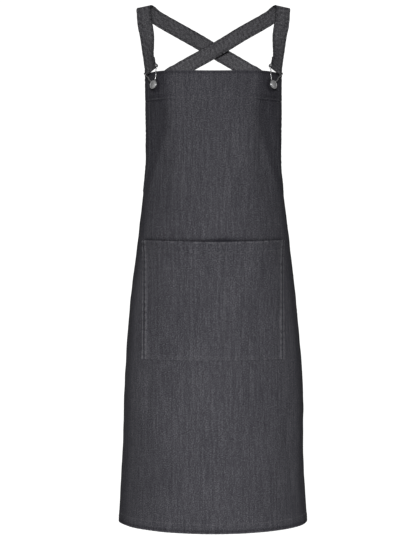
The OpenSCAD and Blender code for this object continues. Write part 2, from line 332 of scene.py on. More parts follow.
def emboss(tree, shader, height, strength, distance):
    """Fine relief in the surface's light, distance in metres."""
    relief = node(tree, "ShaderNodeBump",
                  {"Strength": strength, "Distance": distance, "Height": height})
    tree.links.new(relief.outputs[0], shader.inputs["Normal"])


def tint(tree, shader, colour, share):
    """The surface's colour, times share."""
    mixed = node(tree, "ShaderNodeVectorMath", {0: colour, "Scale": share}, operation="SCALE")
    tree.links.new(mixed.outputs[0], shader.inputs["Base Color"])


def denim(name, dark, middle, light, streaks=1.0, flecks=1.0):
    """Twill cloth with slubby warp yarns, weft flecks, worn seams and painted shade from the cloth's
    vertex mark.
    """
    made, tree, shader = new_material(name)
    place = node(tree, "ShaderNodeUVMap", uv_map="pattern").outputs[0]
    # The cloth's vertex mark holds real wear and painted shade together.
    wear_and_shade = node(tree, "ShaderNodeAttribute", attribute_name="wear_and_shade").outputs["Fac"]
    split = node(tree, "ShaderNodeSeparateXYZ", {0: place})
    x, y = split.outputs[0], split.outputs[1]
    slub = noise(tree, place, (430, 34, 1), 2.0)
    yarn = noise(tree, place, (1100, 110, 1), 1.0)
    grain = noise(tree, place, (520, 480, 1), 2.0)
    fleck = noise(tree, place, (330, 900, 1), 2.0)
    cloud = noise(tree, place, (9, 6, 1), 3.0)
    blot = noise(tree, place, (150, 120, 1), 2.0)
    streak = noise(tree, place, (230, 11, 1), 2.0)
    slant = calc(tree, "ADD", calc(tree, "MULTIPLY", x, 5900), calc(tree, "MULTIPLY", y, 3600))
    rib = calc(tree, "MULTIPLY", calc(tree, "SINE", slant), 0.5)
    total = 0.5
    for part, share in ((slub, 0.38 * streaks), (yarn, 0.22 * streaks), (streak, 0.42 * streaks),
                        (grain, 1.1 * flecks), (fleck, 1.1 * flecks), (cloud, 0.22),
                        (blot, 0.26), (rib, 0.10), (wear_and_shade, 0.55)):
        total = calc(tree, "MULTIPLY_ADD", part, share, total)
    ramp = node(tree, "ShaderNodeValToRGB", {0: total})
    stops = ramp.color_ramp.elements
    stops.new(0.5)
    for stop, colour in zip(stops, (dark, middle, light)):
        stop.color = (*colour, 1)
    tree.links.new(ramp.outputs[0], shader.inputs["Base Color"])
    height = 0.0
    for part, share in ((slub, 0.9), (rib, 0.5), (grain, 1.1), (yarn, 0.6)):
        height = calc(tree, "MULTIPLY_ADD", part, share, height)
    emboss(tree, shader, height, 0.55, 0.00035)
    for key, value in (("Roughness", 0.95), ("Specular IOR Level", 0.10), ("Sheen Weight", 0.015),
                       ("Sheen Roughness", 0.45), ("Sheen Tint", (0.8, 0.8, 0.85, 1))):
        shader.inputs[key].default_value = value
    return made


def metal(name, colour, rough, shine):
    """Metal with fine rubbed marks."""
    made, tree, shader = new_material(name)
    place = node(tree, "ShaderNodeTexCoord").outputs["Object"]
    mark = noise(tree, place, (600, 600, 600), 4.0)
    broad = noise(tree, place, (90, 90, 90), 2.0)
    total = calc(tree, "MULTIPLY_ADD", mark, 0.35, 1.0)
    total = calc(tree, "MULTIPLY_ADD", broad, 0.28, total)
    tint(tree, shader, colour, total)
    dull = calc(tree, "MULTIPLY_ADD", mark, 0.35, rough)
    tree.links.new(dull, shader.inputs["Roughness"])
    emboss(tree, shader, mark, 0.25, 0.0001)
    shader.inputs["Metallic"].default_value = shine
    return made


def thread_material(name, colour):
    made, tree, shader = new_material(name)
    place = node(tree, "ShaderNodeTexCoord").outputs["Object"]
    twist = noise(tree, place, (2600, 2600, 2600), 2.0)
    total = calc(tree, "MULTIPLY_ADD", twist, 1.1, 1.0)
    tint(tree, shader, colour, total)
    shader.inputs["Roughness"].default_value = 0.7
    shader.inputs["Sheen Weight"].default_value = 0.15
    return made


DENIM = denim("denim", (0.017, 0.0165, 0.021), (0.0505, 0.0495, 0.0575), (0.132, 0.130, 0.142))
STRAP_DENIM = denim("strap_denim", (0.012, 0.012, 0.014), (0.056, 0.055, 0.060),
                    (0.145, 0.143, 0.152), flecks=1.15)
REVERSE = denim("denim_reverse", (0.050, 0.050, 0.052), (0.110, 0.110, 0.114),
                (0.230, 0.230, 0.235), streaks=0.6, flecks=1.5)
THREAD = thread_material("thread", (0.034, 0.034, 0.038))
WIRE = metal("dark_wire", (0.30, 0.30, 0.305), 0.32, 0.72)
BUTTON = metal("button_metal", (0.52, 0.52, 0.525), 0.42, 0.70)

ROOT = "apron"


def keep(obj, body, slot, *nodes):
    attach(obj, body)
    if nodes:
        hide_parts(*nodes)
    return obj


# ---------------------------------------------------------------- stitches
STITCH = {"pitch": 3.3, "length": 2.6, "radius": 0.34}


def stitch_parts():
    """One stitch along x, bowed so that its ends go into the cloth."""
    at = np.array([-0.5, -0.40, -0.18, 0.18, 0.40, 0.5])
    width = np.array([0.25, 0.75, 1.0, 1.0, 0.75, 0.25])
    turn = np.arange(6) * math.pi / 3
    points = [[STITCH["length"] * a, STITCH["radius"] * w * math.cos(c),
               STITCH["radius"] * (w * 0.85 * math.sin(c) + 0.5 - 5.0 * a * a)]
              for a, w in zip(at, width) for c in turn]
    faces = []
    for r in range(5):
        for c in range(6):
            faces.append([r * 6 + c, r * 6 + (c + 1) % 6, (r + 1) * 6 + (c + 1) % 6, (r + 1) * 6 + c])
    faces.append([5, 4, 3, 2, 1, 0])
    faces.append([30, 31, 32, 33, 34, 35])
    return np.array(points), faces


def stitch_row(points, normals, pitch=None):
    """Places of the stitches along a line on the cloth."""
    pitch = pitch or STITCH["pitch"]
    points = np.asarray(points, float)
    normals = unit(normals)
    run = np.concatenate([[0], np.cumsum(np.linalg.norm(np.diff(points, axis=0), axis=1))])
    count = max(1, int(run[-1] // pitch))
    start = (run[-1] - (count - 1) * pitch) / 2
    at = start + pitch * np.arange(count)

    def read(values, where):
        return np.stack([np.interp(where, run, values[:, k]) for k in range(3)], -1)

    half = STITCH["length"] / 2
    p = read(points, at)
    d = unit(read(points, np.minimum(at + half, run[-1])) - read(points, np.maximum(at - half, 0)))
    n = read(normals, at)
    n = unit(n - d * (n * d).sum(-1, keepdims=True))
    return p, d, n


def thread(name, rows):
    """One mesh of every stitch in the rows."""
    shape, faces = stitch_parts()
    p = np.concatenate([r[0] for r in rows])
    d = np.concatenate([r[1] for r in rows])
    n = np.concatenate([r[2] for r in rows])
    rng = np.random.default_rng(5)
    tilt = rng.normal(0, 0.05, len(p))[:, None]
    s = np.cross(n, d)
    d, s = unit(d + tilt * s), unit(s - tilt * d)
    axes = np.stack([d, s, n], 1)
    all_points = (p[:, None] + shape @ axes).reshape(-1, 3)
    base = np.arange(len(p))[:, None] * len(shape)
    quads = np.array(faces[:-2])
    caps = np.array(faces[-2:])
    all_faces = list((base[:, :, None] + quads[None]).reshape(-1, 4))
    all_faces += list((base[:, :, None] + caps[None]).reshape(-1, 6))
    return make(name, all_points, all_faces, [THREAD])


# ---------------------------------------------------------------- front panel
def side_gap(t, v):
    """Distance along the cloth from its nearer side edge."""
    return (edge(v) - np.abs(t)) * speed(edge(v), v)


def hem_relief(gap, along, width, seed):
    """Rise over a turned hem, with a sunk and puckered stitch line."""
    over = 0.55 * step(width + 1.5, width - 1.0, gap)
    groove = -0.55 * bump(gap, width - 2, 1.5)
    pucker = 0.34 * waves_along(along, 11, seed) * bump(gap, width - 4, 9)
    rope = 0.30 * waves_along(along + gap * 0.9, 9, seed + 1) * step(width - 2, width - 8, gap)
    return over + groove + pucker + rope


def pocket_share(x):
    """0 along the pocket's seams and 1 in the middle of a compartment."""
    s = np.where(x < POCKET_DIVIDER_X,
                 (x + POCKET_HALF_W) / (POCKET_DIVIDER_X + POCKET_HALF_W),
                 (POCKET_HALF_W - x) / (POCKET_HALF_W - POCKET_DIVIDER_X))
    return np.sin(math.pi * np.clip(s, 0, 1))


def pocket_place(t, v):
    """How far sideways a point on the panel is, and the drop of the pocket's mouth there."""
    x = curve(HALF_WIDTH, v) * np.sin(np.radians(t))
    return x, POCKET_TOP + POCKET_SAG * pocket_share(x)


def panel_relief(t, v):
    """Rise of the panel's outer face over hems, facing and stitch lines."""
    x, mouth = pocket_place(t, v)
    gap = side_gap(t, v)
    low = PANEL_H - v
    side = np.where(t < 0, 0.0, 400.0)
    out = hem_relief(gap, v + side, SIDE_HEM_W, 21)
    out = out + hem_relief(low, t * 3.0, BOTTOM_HEM_H, 23)
    top = 0.35 * step(FACING_H, FACING_H - 2, v) - 0.5 * bump(v, FACING_H - 2, 1.5)
    out = out + top + 0.22 * waves_along(t * 3.0, 12, 25) * bump(v, FACING_H - 3, 8)
    out = out + 0.18 * waves_along(t * 3.0, 9, 26) * bump(v, 3, 5)
    inside = step(POCKET_HALF_W + 1, POCKET_HALF_W - 14, np.abs(x)) * (np.abs(t) < 90)
    hollow = step(mouth - 10, mouth + 1, v) * step(mouth + 70, mouth + 12, v)
    return out - 3.0 * hollow * inside * (0.35 + 0.65 * pocket_share(x))


def panel_wear_and_shade(t, v):
    """Rubbed edges (above 0) and painted shade (below 0): darker edges, turned sides, bib sides and facing
    pleats, with painted shadows round the buttons and under the pocket's mouth.
    """
    gap = side_gap(t, v)
    low = PANEL_H - v
    line = bump(gap, SIDE_HEM_W - 2.5, 1.6) + bump(low, BOTTOM_HEM_H - 2.5, 1.6)
    line = line + 0.7 * bump(v, FACING_H - 2, 1.6)
    fold = bump(gap, 0, 1.0) + bump(low, 0, 1.2) + 0.6 * bump(v, 0, 1.0)
    patchy = 0.45 + 0.55 * waves(t * 2.4, v, 9, 31)
    x, mouth = pocket_place(t, v)
    # Painted shadow on the panel just under the pocket's mouth.
    mouth_shadow = (np.abs(x) < POCKET_HALF_W - 1) * (np.abs(t) < 90) * bump(v, mouth + 1.5, 4.5)
    # Painted shade: darker bands along the panel's side, bottom and top edges.
    shade = 0.55 * bump(gap, 3.0, 2.6) + 0.45 * bump(low, 3.5, 2.6) + 0.4 * bump(v, 3.0, 2.2)
    # Painted shade: a darker band down each side where the skirt turns away.
    shade = shade + 0.45 * step(61, 75, np.abs(t)) * step(190, 270, v)
    # Painted shade over the bib's sides, outward from inner_edge.
    inner_edge = 36 + 26 * step(90, 230, v)
    shade = shade + 0.42 * step(inner_edge, inner_edge + 9, np.abs(t)) * step(250, 200, v)
    # Painted shade along the facing's pleat lines at the bib's sides.
    pleat_shade = bump(v, FACING_H + 0.5, 1.6) + 0.6 * bump(v, FACING_H - 6, 1.6)
    shade = shade + 0.40 * pleat_shade * step(30, 44, np.abs(t))
    # Painted shadow in a ring round each button.
    reach = np.hypot((np.abs(t) - BUTTON_ANGLE) * speed(BUTTON_ANGLE, v), v - BUTTON_DROP)
    button_shadow = 0.7 * bump(reach, 9.5, 3.5)
    return np.clip((0.32 * line + 0.45 * fold) * patchy - shade - button_shadow - 1.2 * mouth_shadow, -1.2, 1)


def grid_of(drops, shares, low, high):
    """Angles and drops of a grid, from angle low(v) to high(v)."""
    v = np.repeat(np.asarray(drops, float)[:, None], len(shares), 1)
    t = low(v) + (high(v) - low(v)) * np.asarray(shares, float)[None]
    return t, v


def both_ways(half):
    return np.concatenate([-half[::-1], half[1:]])


def area_of(grid):
    """Area of a grid of points, in square metres."""
    down = grid[1:, :-1] - grid[:-1, :-1]
    right = grid[:-1, 1:] - grid[:-1, :-1]
    return float(np.linalg.norm(np.cross(down, right), axis=2).sum()) / 1e6


def make_panel():
    half = 1 - np.concatenate([spaced([1.0, 0.13], 0.0115), spaced([0.125, 0.0], 0.0052)])
    shares = (both_ways(half) + 1) / 2
    drops = spaced([0, 6, FACING_H - 7, FACING_H + 4, POCKET_TOP - 10, POCKET_TOP + 10,
                    PANEL_H - 26, PANEL_H], 4.0)
    fine = [spaced([0, 5], 1.0), spaced([FACING_H - 6, FACING_H + 3], 1.0),
            spaced([POCKET_TOP - 8, POCKET_TOP + 8], 1.3), spaced([PANEL_H - 24, PANEL_H], 1.2)]
    drops = np.unique(np.round(np.concatenate([drops] + fine), 2))
    drops = drops[np.concatenate([[True], np.diff(drops) > 0.45])]
    t, v = grid_of(drops, shares, lambda v: -edge(v), edge)
    relief = panel_relief(t, v)
    gap = np.minimum(np.minimum(side_gap(t, v), PANEL_H - v), v)
    fold = LAYER_STEP * step(2.6, 0.8, gap)
    outer = cloth(t, v, relief)
    inner = cloth(t, v, np.minimum(relief, 0.3) - CLOTH_T - fold)
    made = sheet_mesh("apron_panel", outer, inner, flat_places(t, v), panel_wear_and_shade(t, v))
    keep(made, ROOT, "denim", "body_panel")
    return made, area_of(outer)


panel, panel_area = make_panel()


def inner_strip(name, t, v, node_name, level=1.0, seed=41):
    """A layer of cloth sewn behind the panel."""
    wobble = 0.12 * waves(t * 2.4, v, 14, seed)
    top = -LAYER_STEP * level + wobble + 0.35
    outer = cloth(t, v, top)
    inner = cloth(t, v, top - CLOTH_T)
    wear_and_shade = 0.15 * waves(t * 2.4, v, 10, seed + 1)
    made = sheet_mesh(name, outer, inner, flat_places(t, v, (0.31, 0.17)), wear_and_shade)
    return keep(made, ROOT, "denim_inside", node_name)


ACROSS = (lambda v: -inset(v, HEM_INSET), lambda v: inset(v, HEM_INSET))


def make_hems():
    made = []
    drops = spaced([2.2, FACING_H], 4.0)
    t, v = grid_of(drops, np.linspace(0, 1, 120), *ACROSS)
    made.append(inner_strip("bib_facing_cloth", t, v, "bib_facing", seed=41))
    for side, sign in SIDES:
        drops = spaced([FACING_H + 1.5, PANEL_H - BOTTOM_HEM_H - 1], 4.0)
        ends = [lambda v: inset(v, SIDE_HEM_W), lambda v: inset(v, HEM_INSET)]
        low, high = ends if sign > 0 else ends[::-1]
        t, v = grid_of(drops, np.linspace(0, 1, 8),
                       lambda v, f=low: sign * f(v), lambda v, f=high: sign * f(v))
        made.append(inner_strip(f"side_hem_cloth_{side}", t, v, f"side_hem_{side}", seed=43))
    drops = spaced([PANEL_H - BOTTOM_HEM_H, PANEL_H - HEM_INSET], 3.0)
    t, v = grid_of(drops, np.linspace(0, 1, 170), *ACROSS)
    made.append(inner_strip("bottom_hem_cloth", t, v, "bottom_hem", seed=45))
    for side, sign in SIDES:
        low, high = sorted(sign * angle for angle in PATCH_ANGLES)
        t, v = grid_of(spaced(PATCH_DROPS, 3.0), np.linspace(0, 1, 9),
                       lambda v, a=low: 0 * v + a, lambda v, a=high: 0 * v + a)
        made.append(inner_strip(f"button_patch_cloth_{side}", t, v, f"button_patch_{side}",
                                level=2.0, seed=47))
    return made


hem_pieces = make_hems()


def outer_row(t, v):
    """A line of stitches on the panel's outer face."""
    return stitch_row(cloth(t, v, panel_relief(t, v)), outward(t, v))


def hem_rows(t, v):
    """A line of stitches through the panel and its hem, seen on both sides."""
    behind = cloth(t, v, -LAYER_STEP - CLOTH_T + 0.25)
    return [outer_row(t, v), stitch_row(behind, -outward(t, v))]


def panel_rows():
    """Stitch lines of the hems, the facing and the boxes that fix the straps."""
    rows = []
    v = spaced([FACING_H - 1, PANEL_H - 1.5], 1.6)
    for _, sign in SIDES:
        rows += hem_rows(sign * inset(v, SIDE_HEM_W - 2), v)
    for at in (PANEL_H - BOTTOM_HEM_H + 2, FACING_H - 2):
        end = float(inset(np.array(at), 1.5))
        t = np.linspace(-end, end, 420)
        rows += hem_rows(t, np.full(len(t), at))
    near, far = BOX_ANGLES
    high, low = BOX_DROPS
    lines = ((far, far, high, low), (near, near, high, low), (near, far, high, high),
             (near, far, low, low), (near, far, high, low), (far, near, high, low))
    for _, sign in SIDES:
        for t_from, t_to, v_from, v_to in lines:
            rows.append(outer_row(sign * np.linspace(t_from, t_to, 40), np.linspace(v_from, v_to, 40)))
        rows.append(outer_row(sign * np.linspace(61, 69, 9), np.full(9, FACING_H + 2.5)))
    return rows


panel_thread = keep(thread("panel_stitches", panel_rows()), ROOT, "denim_inside")


# ---------------------------------------------------------------- pocket
def mouth_at(x):
    return POCKET_TOP + POCKET_SAG * (1 - (x / POCKET_HALF_W) ** 2)


def pocket_grid(rows, cols, top=0.0, bottom=None):
    """Points across the pocket: sideways place x, drop v, and angle t."""
    x = np.repeat(POCKET_HALF_W * np.asarray(cols, float)[None], len(rows), 0)
    first = mouth_at(x) + top
    last = POCKET_BOTTOM if bottom is None else first - top + bottom
    v = first + (last - first) * np.asarray(rows, float)[:, None]
    return x, v, angle_at(x, v)


def pocket_off(x, v):
    """How far the pocket's outer face stands off the panel."""
    down = np.clip((v - mouth_at(x)) / (POCKET_BOTTOM - mouth_at(x)), 0, 1)
    room = 1.5 * np.clip(1 - down * 5.5, 0, 1)
    gape = POCKET_GAPE * (1 - down) ** 1.35 * pocket_share(x) ** 0.9
    slack = 1.1 * waves(x, v, 70, 61) * step(0, 30, POCKET_HALF_W - np.abs(x))
    slack = slack * step(0, 35, POCKET_BOTTOM - v)
    return LAYER_STEP + room + gape + slack


def pocket_edges(x, v):
    """Distances from the pocket's side, bottom and mouth, and the place along its side seams."""
    along = v + np.where(x < 0, 0.0, 300.0)
    return POCKET_HALF_W - np.abs(x), POCKET_BOTTOM - v, v - mouth_at(x), along


def pocket_relief(x, v):
    side, low, high, along = pocket_edges(x, v)
    edge_line = 0.45 * step(9, 6.5, side) - 0.5 * bump(side, POCKET_STITCH, 1.1)
    edge_line = edge_line + 0.45 * step(9, 6.5, low) - 0.5 * bump(low, POCKET_STITCH, 1.1)
    pucker = 0.55 * waves_along(along, 12, 63) * bump(side, 4, 9)
    pucker = pucker + 0.45 * waves_along(x, 12, 64) * bump(low, 4, 9)
    top = 0.5 * step(MOUTH_HEM_H + 1.5, MOUTH_HEM_H - 1, high)
    top = top - 0.55 * bump(high, MOUTH_HEM_H - 2, 1.4)
    top = top + 0.26 * waves_along(x, 12, 65) * bump(high, MOUTH_HEM_H - 3, 9)
    seam = -0.6 * bump(x, POCKET_DIVIDER_X, 1.5)
    seam = seam + 0.35 * waves_along(v, 13, 66) * bump(x, POCKET_DIVIDER_X, 10)
    return edge_line + pucker + top + seam


def pocket_wear(x, v):
    side, low, high, along = pocket_edges(x, v)
    rub = 0.5 + 0.5 * waves_along(along, 12, 63)
    rub_low = 0.5 + 0.5 * waves_along(x, 12, 64)
    edges = (1.5 * bump(side, 0, 2.2) + 1.1 * bump(side, 6.5, 2.2)) * (0.25 + 0.75 * rub)
    edges = edges + (0.5 * bump(low, 0, 2.0) + 0.3 * bump(low, 6.0, 2.2)) * rub_low
    rub_top = 0.35 + 0.65 * waves_along(x, 21, 67)
    edges = edges + 0.75 * bump(high, 0.9, 1.4) * np.clip(rub_top, -0.1, 1)
    edges = edges + 0.25 * bump(high, MOUTH_HEM_H, 1.8) * rub_top
    mottle = 0.13 * waves(x, v, 6, 68) * step(0, 4, high) * step(64, 18, high)
    return np.clip(0.8 * edges + mottle - 0.6 * bump(side, 3.3, 1.4), -0.7, 1.2)


def make_pocket():
    half = 1 - np.concatenate([spaced([1.0, 0.09], 0.022), spaced([0.085, 0.0], 0.0068)])
    cols = both_ways(half)
    near_seam = POCKET_DIVIDER_X / POCKET_HALF_W + np.array([-2.4, -1.2, 0, 1.2, 2.4]) / POCKET_HALF_W
    cols = np.unique(np.round(np.concatenate([cols, near_seam]), 5))
    cols = cols[np.concatenate([[True], np.diff(cols) > 0.003])]
    rows = np.unique(np.round(np.concatenate([
        spaced([0, 0.02], 0.005), spaced([0.02, 0.07], 0.011), spaced([0.07, 0.10], 0.0055),
        spaced([0.10, 0.94], 0.0135), spaced([0.94, 1.0], 0.005)]), 5))
    x, v, t = pocket_grid(rows, cols)
    off = pocket_off(x, v) + pocket_relief(x, v)
    close = np.minimum(POCKET_HALF_W - np.abs(x), POCKET_BOTTOM - v)
    press = step(3.0, 1.0, close)
    fold = LAYER_STEP * step(2.2, 0.6, v - mouth_at(x))
    inner_off = np.where(press > 0, (off - CLOTH_T) * (1 - press) + 0.15 * press, off - CLOTH_T)
    outer = cloth(t, v, off)
    inner = cloth(t, v, inner_off - fold * (1 - press))
    made = sheet_mesh("pocket_cloth", outer, inner, flat_places(t, v, (0.003, 0.052)),
                      pocket_wear(x, v))
    keep(made, ROOT, "denim", "pocket_panel")
    area = area_of(outer)
    x, v, t = pocket_grid(spaced([0, 1], 0.16), cols[3:-3], top=2.0, bottom=MOUTH_HEM_H)
    off = pocket_off(x, v) - LAYER_STEP + 0.3
    hem = sheet_mesh("pocket_mouth_hem_cloth", cloth(t, v, off), cloth(t, v, off - CLOTH_T),
                     flat_places(t, v, (0.2, 0.4)), 0 * x)
    keep(hem, ROOT, "denim_inside", "pocket_mouth_hem")
    return made, hem, area


pocket, mouth_hem, pocket_area = make_pocket()


def pocket_row(x, v, pitch=None):
    """A line of stitches on the pocket's outer face."""
    x, v = np.broadcast_arrays(np.asarray(x, float), np.asarray(v, float))
    t = angle_at(x, v)
    return stitch_row(cloth(t, v, pocket_off(x, v) + pocket_relief(x, v)), outward(t, v), pitch)


def pocket_rows():
    rows = []
    side_x = POCKET_HALF_W - POCKET_STITCH
    v = spaced([float(mouth_at(side_x)) + 1.5, POCKET_BOTTOM - POCKET_STITCH], 1.5)
    for _, sign in SIDES:
        rows.append(pocket_row(sign * side_x, v))
    x = np.linspace(-side_x, side_x, 260)
    rows.append(pocket_row(x, POCKET_BOTTOM - POCKET_STITCH))
    x = np.linspace(-POCKET_HALF_W + 5, POCKET_HALF_W - 5, 260)
    rows.append(pocket_row(x, mouth_at(x) + MOUTH_HEM_H - 2))
    v = spaced([float(mouth_at(POCKET_DIVIDER_X)) + 1.5, POCKET_BOTTOM - 5], 1.5)
    rows.append(pocket_row(POCKET_DIVIDER_X, v))
    for sign in (-1, 1):
        for lift in (0.0, 2.2):
            x = np.linspace(POCKET_HALF_W - 11, POCKET_HALF_W - 2, 12) * sign
            rows.append(pocket_row(x, mouth_at(x) + 3 + lift, 2.9))
    return rows


pocket_thread = keep(thread("pocket_stitches", pocket_rows()), ROOT, "denim_inside")


# ---------------------------------------------------------------- clip axes
BUTTON_BASE = skin(-BUTTON_ANGLE, BUTTON_DROP)
CLIP_OUT = outward(-BUTTON_ANGLE, BUTTON_DROP)
_rise = unit(np.array([0, 0, 1.0]) - CLIP_OUT * CLIP_OUT[2])
CLIP_UP = math.cos(CLIP_ROLL) * _rise - math.sin(CLIP_ROLL) * np.cross(_rise, CLIP_OUT)
CLIP_SIDE = np.cross(CLIP_UP, CLIP_OUT)
CLIP_AXES = np.stack([CLIP_SIDE, CLIP_UP, CLIP_OUT])


def flip_of(sign):
    """Factors that take the left side's points to the left (-1) or the right (1)."""
    return np.array([-float(sign), 1, 1])


def at_clip(points, sign):
    """From the clip's axes (x along the bar, y up it, z out) to the left or right clip."""
    placed = BUTTON_BASE + np.asarray(points, float) @ CLIP_AXES
    return placed * flip_of(sign)


def mirrored(faces, sign):
    return [list(f)[::-1] for f in faces] if sign > 0 else [list(f) for f in faces]


# ---------------------------------------------------------------- straps
SLEEVE = [[55.0, 3.3], [50, 3.45], [45, 3.45], [40.5, 2.75], [37, 2.0], [34, 1.85], [32.2, 2.6],
          [31.45, 4.4], [32.2, 6.2], [34, 6.95], [37, 6.8], [40.5, 6.05], [45, 5.35], [50, 5.3],
          [55, 5.0], [61, 4.4]]
SLEEVE_LENGTH = 52.0
INSIDE = -2 * LAYER_STEP - 0.9
FRONT_RUN = [[[-127, 105.5, 75], [-0.42, -0.83, 0.34]],
             [[-132.2, 115, 104], [-0.30, -0.84, 0.45]],
             [[-134, 117, 125], [-0.34, -0.84, 0.42]],
             [[-134.8, 119.6, 133.6], [-0.28, -0.52, 0.80]],
             [[-132.3, 125, 135.9], [-0.145, 0.06, 0.98]],
             [[-124.5, 138.5, 131.5], [-0.10, 0.45, 0.88]],
             [[-108, 150, 117.3], [0, 0.86, 0.50]],
             [[-52, 178, 89], [0, 0.92, 0.38]],
             [[0, 207, 62], [0, 0.94, 0.34]],
             [[34, 208, 43], [0.05, 0.96, 0.25]],
             [[68, 205, 23], [0.25, 0.94, 0.18]],
             [[93, 194, 4.5], [0.42, 0.89, 0.14]],
             [[110, 178, -42], [0.62, 0.78, 0.07]],
             [[121, 160, -112], [0.82, 0.57, 0.02]],
             [[125, 141, -180], [0.95, 0.30, 0]]]


def smooth_through(values, sub):
    """Points on a smooth curve through the values, sub to each span."""
    values = np.asarray(values, float)
    last = len(values) - 1
    out = []
    for i in range(last):
        a = (values[i + 1] - values[max(0, i - 1)]) / (i + 1 - max(0, i - 1))
        b = (values[min(last, i + 2)] - values[i]) / (min(last, i + 2) - i)
        out += [between(j / sub, values[i], values[i + 1], a, b) for j in range(sub)]
    out.append(values[-1])
    return np.array(out)


def resample(points, gap):
    run = np.concatenate([[0], np.cumsum(np.linalg.norm(np.diff(points[:, :3], axis=0), axis=1))])
    count = int(round(run[-1] / gap)) + 1
    at = np.linspace(0, run[-1], count)
    return np.stack([np.interp(at, run, points[:, k]) for k in range(points.shape[1])], -1), at


def averaged(points, kernel):
    """The points, each mixed with its neighbours by the kernel's weights."""
    reach = len(kernel) // 2
    out = points.copy()
    for k in range(points.shape[1]):
        padded = np.pad(points[:, k], reach, mode="reflect", reflect_type="odd")
        out[:, k] = np.convolve(padded, kernel, mode="valid")
    return out


def strap_route(sign):
    """The whole strap as on the left: middle, outward direction and distance along it."""
    sleeve = smooth_through([[0, y, z] for y, z in SLEEVE], 8)
    d = np.gradient(sleeve, axis=0)
    n = np.cross(np.array([1.0, 0, 0]), unit(d))
    n = -n if n[-1][2] < 0 else n
    begin = np.concatenate([BUTTON_BASE + sleeve @ CLIP_AXES, unit(n) @ CLIP_AXES], 1)
    stations = [[*(BUTTON_BASE + 46 * CLIP_UP + WIRE_HIGH * CLIP_OUT), *CLIP_OUT],
                [*(BUTTON_BASE + 61 * CLIP_UP + WIRE_HIGH * CLIP_OUT), *CLIP_OUT]]
    stations += [[*p, *unit(n)] for p, n in FRONT_RUN]
    for v in (228, 262, 294):
        stations.append([*cloth(97, v, INSIDE), *outward(97, v)])
    rest = smooth_through(stations, 14)[14:]
    route = np.concatenate([begin[:-1], rest])
    near = step(60, 22, np.abs(route[:, 0])) * (route[:, 1] > 150)
    route[:, :3] += route[:, 3:] * (near * CROSS_GAP * -sign)[:, None]
    fine, run = resample(route, 0.8)
    kernel = bump(np.arange(-9, 10), 0, 4.5)
    soft = averaged(fine, kernel / kernel.sum())
    blend = step(SLEEVE_LENGTH, SLEEVE_LENGTH + 12, run)[:, None]
    return fine * (1 - blend) + soft * blend, run


# Places across a strap, and the share of its thickness there: its edges are rounded.
HALF_WIDE = np.array([2, 5.5, 8.5, 10.6, 11.6, 12.3, 13.2, 14.1, 14.7, STRAP_W / 2])
STRAP_WIDE = np.concatenate([-HALF_WIDE[::-1], HALF_WIDE])
STRAP_ROUND = np.interp(np.abs(STRAP_WIDE), [13.2, 14.1, 14.7, STRAP_W / 2], [1, 0.92, 0.60, 0])


def strap_relief(w, along, seed):
    """Bulge and puckers along a strap's sewn edges."""
    inner = np.abs(w)
    way = np.where(w < 0, 0.0, 500.0)
    groove = -0.34 * bump(inner, 12.0, 0.9)
    ridge = 0.20 * bump(inner, 13.6, 1.2)
    pucker = 0.30 * waves_along(along + way, 7.5, seed) * bump(inner, 13.2, 2.6)
    crease = 0.16 * waves(along * 0.8 + w * 0.7, w * 0.35, 17, seed + 3)
    return groove + ridge + pucker + crease


def strap_wear_and_shade(w, along, seed):
    way = np.where(w < 0, 0.0, 500.0)
    ticks = waves_along(along + way, 7.5, seed)
    line = bump(np.abs(w), 12.6, 1.2) * (0.15 + 0.55 * ticks)
    # Painted shade: a dark line inside each stitch groove and a darker rim along each folded edge.
    dark = -0.40 * bump(np.abs(w), 11.4, 1.0) - 0.85 * bump(np.abs(w), STRAP_W / 2, 1.5)
    return line + dark + 0.22 * waves(along, w * 1.3, 8, seed + 9)


def strap_frames(route):
    """Middle, run, sideways and outward directions at each place of the route."""
    p, n = route[:, :3], unit(route[:, 3:])
    d = unit(np.gradient(p, axis=0))
    side = unit(np.cross(d, n))
    face = np.cross(side, d)
    return p, d, side, face


def make_strap(side, sign):
    route, run = strap_route(sign)
    whole = strap_frames(route)
    seed = 71 if sign < 0 else 83
    p = route[:, :3]
    up = (p - BUTTON_BASE) @ CLIP_UP
    past_bar = np.arange(len(p)) > int(np.argmin(np.where(run < 60, up, 1e9)))

    def first(height):
        return int(np.argmax(past_bar & (up >= height)))

    crest = int(np.argmax(p[:, 2]))
    cuts = [0, first(59.0), first(80.0), first(112.0), crest, len(p) - 1]
    pieces, threads = [], []
    for k, name in enumerate(("fold", "lower", "slide", "front", "back")):
        pieces.append(strap_part(f"strap_{name}_{side}", whole, run, cuts[k], cuts[k + 1], seed,
                                 sign, k == 0, k == 4))
        cross = [run[first(47.0)], run[first(56.5)]] if k == 0 else []
        rows = strap_part_rows(whole, run, cuts[k], cuts[k + 1], seed, sign, cross)
        threads.append(thread(f"strap_{name}_stitches_{side}", rows))

    for obj in (pieces[0], threads[0]):
        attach(obj, f"strap_fold_{side}")
    for obj in (pieces[1], threads[1]):
        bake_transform(obj)
    for obj in (pieces[2], threads[2]):
        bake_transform(obj)
    for obj in (pieces[3], threads[3]):
        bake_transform(obj)
    for obj in (pieces[4], threads[4]):
        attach(obj, ROOT)
    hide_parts(f"strap_end_{side}")
    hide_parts(f"strap_{side}")
    return pieces, threads, float(run[cuts[5]] - run[cuts[4]]) / 1000


